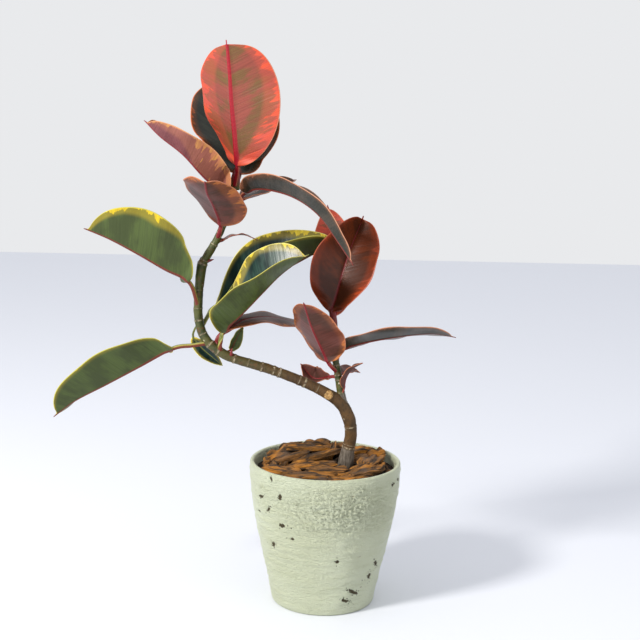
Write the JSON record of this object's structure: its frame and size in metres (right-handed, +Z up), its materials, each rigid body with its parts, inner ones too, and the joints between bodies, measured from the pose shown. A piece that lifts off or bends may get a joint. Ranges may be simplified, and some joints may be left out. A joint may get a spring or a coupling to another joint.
{
  "type": "potted rubber plant",
  "caption": "Variegated rubber plant with a bent woody stem, a side shoot and broad leathery leaves, in a round tapered ceramic pot topped with bark mulch.",
  "frame": {"origin": "centre of the pot's underside, on the surface it stands on", "axes": "+Z up, out of the pot's mouth; -Y is the front of the plant and +X its right seen from the front"},
  "size_m": [0.3859, 0.1752, 0.5501],
  "materials": {
    "glazed_pot": "pale celadon ceramic, rough streaked relief, satin",
    "soil": "dark potting mix, matt",
    "bark": "bark chips, matt",
    "stem_bark": "young woody stem, satin",
    "green_stem": "green stem, satin",
    "leaf_green": "leathery leaf, satin",
    "leaf_coral": "leathery leaf, glossy",
    "leaf_mauve": "leathery leaf, satin",
    "leaf_russet": "leathery leaf, glossy"
  },
  "bodies": {
    "root": {"pot": "glazed_pot", "soil": "soil", "main_stem": "stem_bark", "side_shoot": "green_stem", "leaf_crown_front": "leaf_coral", "leaf_crown_back": "leaf_russet", "leaf_upper_left": "leaf_mauve", "leaf_upper_front": "leaf_mauve", "leaf_upper_right": "leaf_russet", "leaf_drooping": "leaf_russet", "leaf_left": "leaf_green", "leaf_low_left": "leaf_green", "leaf_trough_back": "leaf_green", "leaf_trough_front": "leaf_green", "leaf_low_middle": "leaf_mauve", "leaf_young_red": "leaf_russet", "leaf_by_bend": "leaf_green", "leaf_behind_bend": "leaf_green", "leaf_shoot_top": "leaf_russet", "leaf_shoot_back": "leaf_coral", "leaf_shoot_front": "leaf_mauve", "leaf_shoot_right": "leaf_russet", "leaf_shoot_small_left": "leaf_mauve", "leaf_shoot_small_right": "leaf_russet", "leaf_shoot_small_back": "leaf_mauve", "bark_chip_01": "bark", "bark_chip_02": "bark", "bark_chip_03": "bark", "bark_chip_04": "bark", "bark_chip_05": "bark", "bark_chip_06": "bark", "bark_chip_07": "bark", "bark_chip_08": "bark", "bark_chip_09": "bark", "bark_chip_10": "bark", "bark_chip_11": "bark", "bark_chip_12": "bark", "bark_chip_13": "bark", "bark_chip_14": "bark"}
  },
  "joints": []
}
